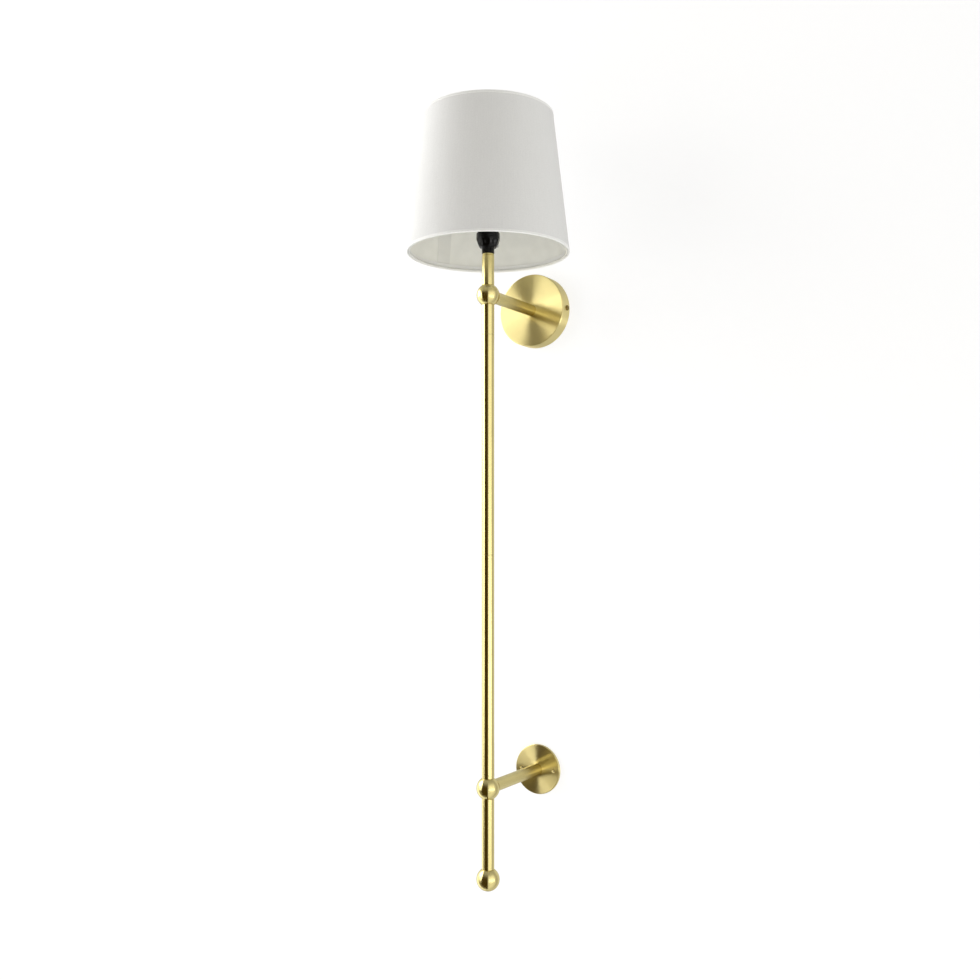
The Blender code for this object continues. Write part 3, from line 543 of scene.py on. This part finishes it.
def build_frame(brass):
    ball("upper_ball", UPPER_Z, brass, True)
    ball("lower_ball", LOWER_Z, brass, True)
    ball("finial_ball", FINIAL_Z, brass, False)
    stub_end = (low("neck_stub").z + high("stem_tube_upper").z) / 2
    joint = (low("stem_tube_upper").z + high("stem_tube_lower").z) / 2
    stem_tube("top_tube", UPPER_Z + FLAT, HOLDER_Z - NECK_DROP - 0.1, brass, collar=2.4)
    stem_tube("neck_stub", stub_end, UPPER_Z - FLAT, brass)
    stem_tube("stem_tube_upper", joint, stub_end, brass)
    stem_tube("stem_tube_lower", LOWER_Z + FLAT, joint, brass)
    stem_tube("tail_tube", FINIAL_Z + FLAT, LOWER_Z - FLAT, brass)
    ball_face = -STEM.y - FLAT
    arm_tube("upper_arm", CANOPY_DEPTH, ball_face, UPPER_Z, brass)
    arm_tube("lower_arm", PLATE_DEPTH, ball_face, LOWER_Z, brass)


def build_canopy(brass, screw_brass_painted_shade):
    """The cup that covers the wall bracket, with a screw in each side of its rim."""
    wall, corner = 1.2, 1.5
    inside = CANOPY_DEPTH - wall
    profile = [
        (BORE, CANOPY_DEPTH),
        *arc(CANOPY_R - corner, CANOPY_DEPTH - corner, corner, 90, 0, 10),
        (CANOPY_R, 0.3),
        (CANOPY_R - 0.3, 0.0),
        (CANOPY_R - wall, 0.0),
        *arc(CANOPY_R - wall - 0.8, inside - 0.8, 0.8, 0, 90, 5),
        (BORE, inside),
    ]
    place = out_of_wall(UPPER_Z)
    cup = turned("canopy_skin", profile, place, brass, steps=192, closed=True, crease=40.0)
    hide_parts("canopy")
    for side, node in ((1, "canopy_screw_right"), (-1, "canopy_screw_left")):
        rim_screw(node, side, screw_brass_painted_shade)


def rim_screw(node, side, finish):
    """A pan head screw with a cross recess, pointing into the canopy's rim."""
    head_t, head_r, shank_r, shank = 2.15, 3.6, 1.95, 8.0
    profile = [
        (0.0, head_t),
        (head_r - 1.5, head_t),
        *arc(head_r - 1.0, head_t - 1.0, 1.0, 80, 0, 8),
        (head_r, 0.15),
        (head_r - 0.15, 0.0),
        (shank_r, 0.0),
        (shank_r, -shank),
        (0.0, -shank),
    ]
    made = turned_mesh(profile, steps=64)
    slots = [block((3.9, 0.75, 2.6), at(0, 0, head_t)), block((0.75, 3.9, 2.6), at(0, 0, head_t))]
    made = cut_with(made, slots)
    lean = Matrix.Rotation(side * math.pi / 2, 4, "Y")
    spin = Matrix.Rotation(math.radians(20), 4, "Z")
    seat = at(side * (CANOPY_R + 0.05), RIM_SCREW.y, RIM_SCREW.z)
    screw = piece(f"{node}_skin", made, seat @ lean @ spin, finish, "fixture")
    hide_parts(node)


def build_lower_plate(brass):
    """The flat plate of the lower arm, with two countersunk holes."""
    edge = 0.8
    profile = [
        (BORE, PLATE_DEPTH),
        (PLATE_R - edge, PLATE_DEPTH),
        (PLATE_R - edge * 0.3, PLATE_DEPTH - edge * 0.3),
        (PLATE_R, PLATE_DEPTH - edge),
        (PLATE_R, 0.0),
        (BORE, 0.0),
    ]
    hole_r, sink_r, hole_x = 1.65, 2.6, 25.0
    sink = [
        (0.0, PLATE_DEPTH + 1.0),
        (sink_r + 1.0, PLATE_DEPTH + 1.0),
        (sink_r, PLATE_DEPTH),
        (hole_r, PLATE_DEPTH - (sink_r - hole_r)),
        (hole_r, -1.0),
        (0.0, -1.0),
    ]
    tools = [moved(turned_mesh(sink, steps=40), at(x, 0, 0)) for x in (hole_x, -hole_x)]
    made = cut_with(turned_mesh(profile, steps=160, closed=True), tools)
    plate = piece("lower_wall_plate_skin", made, out_of_wall(LOWER_Z), brass, "fixture")
    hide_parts("lower_wall_plate")


# ---------------------------------------------------------------- lampholder, ring and bulb


def thread(pitch, depth, start, end, outer):
    """A push that rolls a thread of that pitch into the outside of a turned piece, between two heights."""

    def push(radius, angle, height):
        if radius < outer - 0.05 or not start < height < end:
            return radius
        phase = (height / pitch - angle / (2 * math.pi)) % 1.0
        fade = min(1.0, (height - start) / pitch, (end - height) / pitch)
        return radius - depth * fade * (0.5 + 0.5 * math.cos(2 * math.pi * phase)) ** 0.8

    return push


def build_holder(phenolic):
    """The lampholder: a base with finger grips below, and a threaded skirt with a flange above."""
    lobes, lobe_depth, lobe_low, lobe_high = 8, 1.3, 6.9, 18.0
    rough_thread = thread(2.2, 0.7, 16.2, BASE_TOP + 2.0, HOLDER_R - 0.4)

    def grips(radius, angle, height):
        t = (height - lobe_low) / (lobe_high - lobe_low)
        if 0.0 < t < 1.0 and radius > 9.0:
            radius -= lobe_depth * math.sin(math.pi * t) * (0.5 - 0.5 * math.cos(lobes * angle))
        return rough_thread(radius, angle, height)

    neck_r, shoulder = 8.1, 6.6
    profile = [
        (BORE, -NECK_DROP),
        (neck_r - 0.5, -NECK_DROP),
        *arc(neck_r - 0.5, 0.5 - NECK_DROP, 0.5, -90, 0, 4),
        (neck_r, shoulder - 0.6),
        *arc(neck_r + 0.6, shoulder - 0.6, 0.6, 180, 90, 4),
        (10.3, shoulder + 0.05),
        *arc(10.5, shoulder + 0.65, 0.6, -80, -20, 4),
        (12.1, 8.2),
        (13.3, 10.5),
        (14.4, 13.6),
        (15.1, 16.2),
        (HOLDER_R, 17.4),
        (HOLDER_R, BASE_TOP),
        (12.7, BASE_TOP),
    ]
    profile = ruled(profile[::-1], 0.25)
    base = turned("holder_base_skin", profile, on_stem(HOLDER_Z), phenolic, steps=144, push=grips)
    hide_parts("holder_base")

    flange_z = low("shade_hub").z - HOLDER_Z - 0.3
    flange_t, skirt_r, skirt_bore, top = 2.0, 14.0, 12.6, high("holder_skirt").z - HOLDER_Z
    profile = [
        (skirt_bore, top),
        (skirt_r - 0.5, top),
        (skirt_r, top - 0.5),
        (skirt_r, flange_z),
        (FLANGE_R - 0.3, flange_z),
        (FLANGE_R, flange_z - 0.3),
        (FLANGE_R, flange_z - flange_t + 0.3),
        (FLANGE_R - 0.3, flange_z - flange_t),
        (skirt_r, flange_z - flange_t - 1.5),
        (skirt_r, BASE_TOP + 0.1),
        (skirt_bore, BASE_TOP + 0.1),
    ]
    upper = thread(2.0, 0.5, flange_z + 0.4, top - 0.3, skirt_r)
    lower = thread(2.0, 0.5, BASE_TOP + 0.3, flange_z - flange_t - 2.0, skirt_r)

    def both(radius, angle, height):
        if radius > skirt_r + 0.02:
            return radius
        return upper(radius, angle, height) if height > flange_z else lower(radius, angle, height)

    made = turned_mesh(ruled(profile, 0.25), steps=96, closed=True, push=both)
    skirt = piece("holder_skirt_skin", made, on_stem(HOLDER_Z), phenolic, "fixture")
    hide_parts("holder_skirt")


def build_shade_ring(phenolic):
    bottom, top = low("shade_ring").z, high("shade_ring").z
    outer = half_width("shade_ring")
    tall, bore, edge, ribs = top - bottom, 14.3, 0.9, 40

    def knurl(radius, angle, height):
        if radius < outer - 0.02:
            return radius
        return radius - 0.55 * (0.5 + 0.5 * math.cos(ribs * angle)) ** 2

    profile = [
        (bore, tall),
        (outer - edge - 0.6, tall),
        *arc(outer - edge, tall - edge, edge, 90, 0, 6),
        *arc(outer - edge, edge, edge, 0, -90, 6),
        (bore, 0.0),
    ]
    ring = turned(
        "shade_ring_skin",
        profile,
        on_stem(bottom),
        phenolic,
        "shade_ring",
        steps=320,
        closed=True,
        push=knurl,
    )
    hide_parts("shade_ring")


def build_bulb(nickel, opal, ceramic):
    """A small globe bulb with a rolled screw cap. Its tip and its inner module stay as CAD parts."""
    seat = on_stem(HOLDER_Z)
    cap_low, cap_top = low("bulb_cap").z - HOLDER_Z, high("bulb_cap").z - HOLDER_Z
    cap_r, thread_pitch = 6.9, 2.82
    profile = [
        (4.9, cap_top),
        (cap_r + 0.3, cap_top),
        (cap_r + 0.3, cap_top - 2.6),
        (cap_r, cap_top - 3.2),
        (cap_r, cap_low + 1.0),
        (cap_r - 1.4, cap_low),
        (4.9, cap_low),
    ]
    screw = thread(thread_pitch, 0.5, cap_low + 1.2, cap_top - 3.4, cap_r)
    made = turned_mesh(ruled(profile, 0.3), steps=72, closed=True, push=screw)
    cap = piece("bulb_cap_skin", made, seat, nickel, "bulb")
    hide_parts("bulb_cap")
    globe_top = high("bulb_globe").z - HOLDER_Z
    globe_r = half_width("bulb_globe")
    foot = low("bulb_globe").z - HOLDER_Z
    centre = globe_top - globe_r
    waist = math.degrees(math.asin((centre - foot - 9.0) / globe_r))
    profile = [
        *arc(0, centre, globe_r, 90, -waist, 48),
        (11.6, foot + 5.4),
        (10.7, foot + 3.4),
        (10.2, foot + 1.6),
        (9.8, foot + 0.4),
        (9.2, foot),
        (5.2, foot),
    ]
    profile[0] = (0.0, globe_top)
    globe = turned("bulb_globe_skin", profile, seat, opal, "bulb", steps=96)
    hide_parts("bulb_globe")
    for node in ("bulb_tip", "bulb_led_module"):
        paint_node(node, ceramic)


# ---------------------------------------------------------------- the shade


def shade_radius(z):
    """Radius of the shade's cover at a height above its bottom edge."""
    return SHADE_BOTTOM_R + (SHADE_TOP_R - SHADE_BOTTOM_R) * z / (SHADE_HIGH - SHADE_LOW)


def build_shade(cloth, lining, enamel, hem_linen_painted_light):
    tall = SHADE_HIGH - SHADE_LOW
    top_r = SHADE_TOP_R
    place = on_stem(SHADE_LOW)
    steps = 256
    cover_t = 0.6
    profile = [
        (top_r, tall - 0.4),
        (SHADE_BOTTOM_R - 0.1, 0.4),
        (SHADE_BOTTOM_R - 0.1 - cover_t, 0.4),
        (top_r - cover_t, tall - 0.4),
    ]
    cover = turned("shade_cover_cloth", ruled(profile, 6.0), place, cloth, "shade", steps=steps, closed=True)
    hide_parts("shade_cover")
    liner_gap, liner_t = 0.75, 0.6
    profile = [
        (top_r - liner_gap, tall - 0.8),
        (SHADE_BOTTOM_R - liner_gap, 0.8),
        (SHADE_BOTTOM_R - liner_gap - liner_t, 0.8),
        (top_r - liner_gap - liner_t, tall - 0.8),
    ]
    liner = turned("shade_liner_sheet", ruled(profile, 6.0), place, lining, "shade", steps=steps, closed=True)
    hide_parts("shade_liner")
    hems = [
        hem("shade_bottom_hem", 0.0, SHADE_BOTTOM_R, 1, place, hem_linen_painted_light, steps),
        hem("shade_top_hem", tall, top_r, -1, place, hem_linen_painted_light, steps),
    ]
    lap = build_laps(tall, cloth)
    build_shade_wires(enamel)


def hem(name, height, radius, up, place, hem_linen_painted_light, steps):
    """The cloth's turned edge: a soft roll over the wire, with a narrow margin inside.

    up is 1 at the bottom edge and -1 at the top.
    """
    roll = 1.15
    lean = (SHADE_BOTTOM_R - SHADE_TOP_R) / (SHADE_HIGH - SHADE_LOW)
    centre_r = radius - roll + 0.25
    centre_h = height + up * roll
    around = arc(centre_r, centre_h, roll, 0, -180, 16)
    profile = [(r, centre_h + up * (h - centre_h)) for r, h in around]
    margin, inner = 7.5, 0.35
    first = (radius + 0.1 - lean * up * 3.6, height + up * 3.6)
    last = (radius - 2 * roll - lean * up * margin, height + up * margin)
    profile = [first, (first[0] + 0.12, first[1] - up * 0.4), *profile, last]
    profile += [(last[0] + inner, last[1]), (centre_r - roll + inner + 0.2, height + up * 2.2)]
    profile += [(centre_r + roll * 0.3, height + up * 1.6), (first[0] - 0.25, first[1])]

    def ripple(r, angle, h):
        return r + 0.05 * math.sin(61 * angle) * math.sin(17 * angle + 1.0)

    return turned(name, profile, place, hem_linen_painted_light, "shade", steps=steps, closed=True, push=ripple)


def strip(name, azimuth, width, offsets, heights, material, thick):
    """A narrow strip up the shade's wall. offsets are its distances out from the cover, edge to edge."""
    made = bmesh.new()
    rows = 24
    columns = len(offsets) - 1
    grid = []
    for i in range(rows + 1):
        z = heights[0] + (heights[1] - heights[0]) * i / rows
        for face in (0, 1):
            row = []
            for j, offset in enumerate(offsets):
                r = shade_radius(z) + offset - face * thick
                turn = math.radians(azimuth) + (j / columns - 0.5) * width / r
                row.append(made.verts.new((r * math.cos(turn) * MM, r * math.sin(turn) * MM, z * MM)))
            grid.append(row)
    for i in range(rows):
        outer, inner, outer_up, inner_up = grid[2 * i : 2 * i + 4]
        for j in range(columns):
            made.faces.new((outer[j], outer[j + 1], outer_up[j + 1], outer_up[j]))
            made.faces.new((inner[j + 1], inner[j], inner_up[j], inner_up[j + 1]))
        made.faces.new((inner[0], outer[0], outer_up[0], inner_up[0]))
        made.faces.new((outer[-1], inner[-1], inner_up[-1], outer_up[-1]))
    for outer, inner in ((grid[0], grid[1]), (grid[-2], grid[-1])):
        for j in range(columns):
            made.faces.new((outer[j], inner[j], inner[j + 1], outer[j + 1]))
    bmesh.ops.recalc_face_normals(made, faces=made.faces)
    return piece(name, made, on_stem(SHADE_LOW), material, "shade")


def build_laps(tall, cloth):
    """The shade's one vertical joint: the cloth's folded edge outside and the liner's overlap inside."""
    # The liner's overlap is painted darker than the liner: painted shade where the doubled sheet lets less
    # light through.
    lap_painted_shade = moulded("styrene_lap_painted_shade", (0.84, 0.84, 0.81), 0.55, grain_mm=0.02, specks=0.02)
    folded = (0.02, 0.42, 0.45, 0.45, 0.3)
    outside = strip("shade_cover_lap", LAP_AZIMUTH, 12.0, folded, (3.4, tall - 3.4), cloth, 0.4)
    flat = (-1.3, -1.32, -1.32, -1.3)
    strip("shade_liner_lap", LAP_AZIMUTH, 20.0, flat, (8.0, tall - 8.0), lap_painted_shade, 0.6)
    return outside


def build_shade_wires(enamel):
    """The frame that carries the shade: two wire rings, a hub, and three spokes bent up from the hub."""
    wire_r, spoke_r, hub_bore = 1.25, 1.2, 14.6
    for node, name in (("shade_bottom_ring", "shade_bottom_wire"), ("shade_top_ring", "shade_top_wire")):
        radius = half_width(node) - wire_r
        profile = arc(radius, 0.0, wire_r, 90, -270, 20)[:-1]
        place = on_stem(middle(node).z)
        ring = turned(name, profile, place, enamel, "shade", steps=160, closed=True)
        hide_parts(node)
    bottom, top = low("shade_hub").z, high("shade_hub").z
    outer = half_width("shade_hub")
    tall, edge = top - bottom, 0.4
    profile = [
        (hub_bore, tall),
        (outer - edge, tall),
        (outer, tall - edge),
        (outer, edge),
        (outer - edge, 0.0),
        (hub_bore, 0.0),
    ]
    hub = turned("shade_hub_ring", profile, on_stem(bottom), enamel, "shade", steps=96, closed=True)
    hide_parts("shade_hub")
    ring_r = half_width("shade_top_ring") - wire_r
    ring_z = middle("shade_top_ring").z
    hub_z = (bottom + top) / 2
    for number, azimuth in enumerate((90.0, 210.0, 330.0), 1):
        turn = math.radians(azimuth)
        out = Vector((math.cos(turn), math.sin(turn), 0.0))
        foot = out * (outer - 2.0) + Vector((0, 0, hub_z - 1.9))
        knee = out * (outer + 3.6) + Vector((0, 0, hub_z - 1.2))
        head = out * (ring_r - 2.2) + Vector((0, 0, ring_z - 1.0))
        along = (head - knee).normalized()
        route = [foot, foot.lerp(knee, 0.5), knee - out * 1.6 + Vector((0, 0, -0.35)), knee]
        route += [knee + along * 1.6 + out * 0.15, knee + along * 4.0, head - along * 5.0]
        route += [head - along * 1.5, head + Vector((0, 0, 0.6))]
        spoke = wire(f"shade_spoke_{number}", route, spoke_r, enamel, "shade", on_stem(0.0))
        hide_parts(f"shade_arm_{number}")


# ---------------------------------------------------------------- parts kept from CAD


def paint_node(node, material):
    """Gives a carried-over CAD part its finish."""
    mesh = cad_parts[node].data
    mesh.materials.clear()
    mesh.materials.append(material)


def paint_hidden_parts(steel, ceramic, brass):
    """Finishes for the fastenings, wiring and contacts that stay as their CAD parts."""
    brown = moulded("brown_insulation", (0.16, 0.06, 0.02), 0.42)
    blue = moulded("blue_insulation", (0.03, 0.10, 0.42), 0.42)
    nylon = moulded("natural_nylon", (0.78, 0.78, 0.72), 0.5, grain_mm=0.02)
    finishes = {
        "wall_bracket": steel,
        "canopy_nut": steel,
        "canopy_washer": steel,
        "earth_screw": steel,
        "earth_ring_terminal": steel,
        "block_screw": steel,
        "holder_lock_screw": steel,
        "holder_insert": ceramic,
        "holder_thread_shell": brass,
        "holder_centre_contact": brass,
        "terminal_block": nylon,
        "wire_live": brown,
        "wire_neutral": blue,
        "wire_earth": striped_insulation(),
    }
    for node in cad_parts:
        if node.endswith("_nipple"):
            finishes[node] = steel
        if node.startswith("terminal_") and node != "terminal_block":
            finishes[node] = brass
    for node, material in finishes.items():
        paint_node(node, material)


# ---------------------------------------------------------------- studio


def plane(name, width, depth, matrix, material):
    made = bmesh.new()
    bmesh.ops.create_grid(made, x_segments=1, y_segments=1, size=0.5)
    bmesh.ops.scale(made, vec=(width, depth, 1.0), verts=made.verts)
    mesh = bpy.data.meshes.new(name)
    made.to_mesh(mesh)
    made.free()
    mesh.materials.append(material)
    obj = bpy.data.objects.new(name, mesh)
    bpy.context.scene.collection.objects.link(obj)
    obj.matrix_world = matrix
    return obj


def wall_paint(name, tone, glow):
    """Opaque from the room's side and clear from behind, so that the light's back can be seen."""
    paint = Paint(name)
    paint.set(Base_Color=(tone, tone, tone, 1.0), Roughness=0.95, Specular_IOR_Level=0.0)
    paint.set(Emission_Color=(1.0, 1.0, 1.0, 1.0), Emission_Strength=glow)
    clear = paint.node("ShaderNodeBsdfTransparent")
    choose = paint.node("ShaderNodeMixShader")
    behind = paint.node("ShaderNodeNewGeometry").outputs["Backfacing"]
    paint.feed(choose.inputs[0], behind)
    paint.feed(choose.inputs[1], paint.shader.outputs[0])
    paint.feed(choose.inputs[2], clear.outputs[0])
    output = paint.tree.nodes["Material Output"]
    paint.tree.links.new(choose.outputs[0], output.inputs["Surface"])
    return paint.material


def towards(azimuth):
    """A level direction, in degrees to the right of the camera as seen from the light."""
    turn = math.atan2(CAMERA_AT.y - STEM.y * MM, CAMERA_AT.x) + math.radians(azimuth)
    return Vector((math.cos(turn), math.sin(turn), 0.0))


def light_panel(name, width, tall, radiance):
    lamp = bpy.data.lights.new(name, "AREA")
    lamp.shape = "RECTANGLE"
    lamp.size = width
    lamp.size_y = tall
    lamp.energy = radiance * lamp.size * lamp.size_y * math.pi
    obj = bpy.data.objects.new(name, lamp)
    bpy.context.scene.collection.objects.link(obj)
    return obj


def soft_box(name, azimuth, distance, width, low_z, high_z, radiance):
    """An upright rectangle of light that faces the stem, between two heights."""
    obj = light_panel(name, width, high_z - low_z, radiance)
    obj.location = Vector((0.0, STEM.y * MM, (low_z + high_z) / 2)) + towards(azimuth) * distance
    obj.rotation_euler = towards(azimuth).to_track_quat("Z", "Y").to_euler()


def floor_glow(floor_z):
    """A panel just above the floor that shines up. Glossy surfaces don't show it."""
    panel = light_panel("floor_glow", FLOOR_GLOW_SIDE, FLOOR_GLOW_SIDE, FLOOR_GLOW)
    panel.location = (0.0, -FLOOR_GLOW_OUT, floor_z + 0.02)
    panel.visible_glossy = False
    panel.rotation_euler = (math.pi, 0.0, 0.0)


def build_world():
    """The room round the light, as soft bands of grey, a pale ceiling, and a pale backdrop for the camera."""
    world = bpy.data.worlds.new("studio")
    bpy.context.scene.world = world
    world.use_nodes = True
    tree = world.node_tree

    def node(kind, links=(), **inputs):
        made = tree.nodes.new(kind)
        for name, value in inputs.items():
            made.inputs[name.replace("_", " ")].default_value = value
        for socket, source in links:
            tree.links.new(source, made.inputs[socket])
        return made

    coordinates = node("ShaderNodeTexCoord")
    parts = node("ShaderNodeSeparateXYZ", [(0, coordinates.outputs["Generated"])])
    turn = node("ShaderNodeMath", [(0, parts.outputs["Y"]), (1, parts.outputs["X"])])
    turn.operation = "ARCTAN2"
    share = node("ShaderNodeMapRange", [("Value", turn.outputs[0])], From_Min=-math.pi, From_Max=math.pi)
    bands = node("ShaderNodeValToRGB", [(0, share.outputs[0])])
    stops = sorted((towards_share(azimuth), colour) for azimuth, colour in ROOM_BANDS)
    (first_at, first), (last_at, last) = stops[0], stops[-1]
    t = (1 - last_at) / (1 - last_at + first_at)
    seam = tuple(a + (b - a) * t for a, b in zip(last, first))
    ramp = bands.color_ramp.elements
    ramp[0].color = (*seam, 1.0)
    ramp[-1].color = (*seam, 1.0)
    for position, colour in stops:
        ramp.new(position).color = (*colour, 1.0)
    height = node("ShaderNodeMapRange", [("Value", parts.outputs["Z"])], From_Min=0.45, From_Max=0.9)
    height.interpolation_type = "SMOOTHSTEP"
    room = node("ShaderNodeMix")
    room.data_type = "RGBA"
    tree.links.new(height.outputs[0], room.inputs[0])
    tree.links.new(bands.outputs[0], room.inputs[6])
    room.inputs[7].default_value = (*CEILING, 1.0)
    glow = tree.nodes["Background"]
    tree.links.new(room.outputs[2], glow.inputs["Color"])
    glow.inputs["Strength"].default_value = ROOM_GAIN
    backdrop = node("ShaderNodeBackground", Strength=BACKDROP)
    seen = node("ShaderNodeLightPath").outputs["Is Camera Ray"]
    choose = node("ShaderNodeMixShader", [(0, seen), (1, glow.outputs[0]), (2, backdrop.outputs[0])])
    tree.links.new(choose.outputs[0], tree.nodes["World Output"].inputs["Surface"])


def towards_share(azimuth):
    """Where a direction lies on the world's ramp, which runs once round from -X by -Y."""
    way = towards(azimuth)
    return (math.atan2(way.y, way.x) / (2 * math.pi) + 0.5) % 1.0


def build_walls():
    """The wall, a dark sheet behind the plate's screw holes that paints the shade in them, and a floor.
    Returns the floor's height.
    """
    lo, hi = CAD_BOX
    floor_paint = moulded("floor_pale", (0.80, 0.80, 0.79), 0.7, grain_scale=300.0, specks=0.01)
    floor_z = lo.z - FLOOR_DROP
    level = Matrix.Translation((0.0, 0.0, floor_z))
    floor = plane("studio_floor", ROOM_WIDTH, ROOM_WIDTH, level, floor_paint)
    floor.visible_glossy = False
    wall_at = Matrix.Translation((0.0, WALL_BEHIND, (lo.z + hi.z) / 2 + WALL_LIFT))
    upright = wall_at @ Matrix.Rotation(math.pi / 2, 4, "X")
    wall = plane("studio_wall", ROOM_WIDTH, WALL_TALL, upright, wall_paint("wall_white", 0.3, 0.76))
    # A dark sheet behind the plate's screw holes: painted shade seen through them.
    behind_plate = Matrix.Translation((0.0, HOLE_SHADE_BEHIND, 0.0)) @ out_of_wall(LOWER_Z)
    hole_shade = plane("painted_hole_shade", 0.056, 0.016, behind_plate, wall_paint("painted_hole_shade_sheet", 0.01, 0.0))
    for backing in (wall, hole_shade):
        backing.visible_diffuse = False
        backing.visible_glossy = False
        backing.visible_transmission = False
        backing.visible_shadow = False
    return floor_z


def build_camera():
    camera = bpy.data.cameras.new("camera")
    camera.lens = LENS
    camera.sensor_width = SENSOR_WIDTH
    holder = bpy.data.objects.new("camera", camera)
    bpy.context.scene.collection.objects.link(holder)
    holder.location = CAMERA_AT
    holder.rotation_euler = (math.pi / 2 + CAMERA_PITCH, 0.0, CAMERA_YAW)
    bpy.context.scene.camera = holder


def build_studio():
    bpy.context.scene.view_settings.view_transform = "Standard"
    floor_z = build_walls()
    for box in SOFT_BOXES:
        soft_box(*box)
    floor_glow(floor_z)
    build_world()
    build_camera()


def main():
    brass = turned_brass("satin_brass", (0.80, 0.685, 0.31), 0.22, 0.9)
    # The canopy's and plate's brass is the tubes' brass in a lighter tone: painted light on those faces.
    faced_brass_painted_light = turned_brass("faced_brass_painted_light", (0.97, 0.83, 0.38), 0.32, 1.0)
    # The rim screws' brass is painted dark: painted shade for the gap round their heads.
    screw_brass_painted_shade = turned_brass("screw_brass_painted_shade", (0.30, 0.21, 0.06), 0.3, 0.0)
    steel = plated_steel()
    nickel = plated_steel("nickel_plate", (0.70, 0.69, 0.66))
    ceramic = moulded("white_ceramic", (0.80, 0.79, 0.75), 0.5)
    black = (0.003, 0.003, 0.0035)
    phenolic = moulded("black_phenolic", black, 0.07, 0.001, grain_scale=700.0, Specular_IOR_Level=0.22)
    opal = moulded("opal_glass", (0.90, 0.90, 0.87), 0.12, grain_mm=0.002, specks=0.01, Coat_Weight=0.6)
    enamel = moulded("white_enamel", (0.82, 0.82, 0.79), 0.38, grain_mm=0.01)
    lining = moulded("styrene_sheet", (0.93, 0.93, 0.89), 0.55, grain_mm=0.02, specks=0.02)
    cloth = linen()
    # The hems' linen is the cover's linen made lighter: a painted highlight along the rolled edges.
    hem_linen_painted_light = linen("linen_hem_painted_highlight", (0.97, 0.97, 0.96))
    build_frame(brass)
    build_canopy(faced_brass_painted_light, screw_brass_painted_shade)
    build_lower_plate(faced_brass_painted_light)
    build_holder(phenolic)
    build_shade_ring(phenolic)
    build_bulb(nickel, opal, ceramic)
    build_shade(cloth, lining, enamel, hem_linen_painted_light)
    paint_hidden_parts(steel, ceramic, brass)
    build_studio()


main()
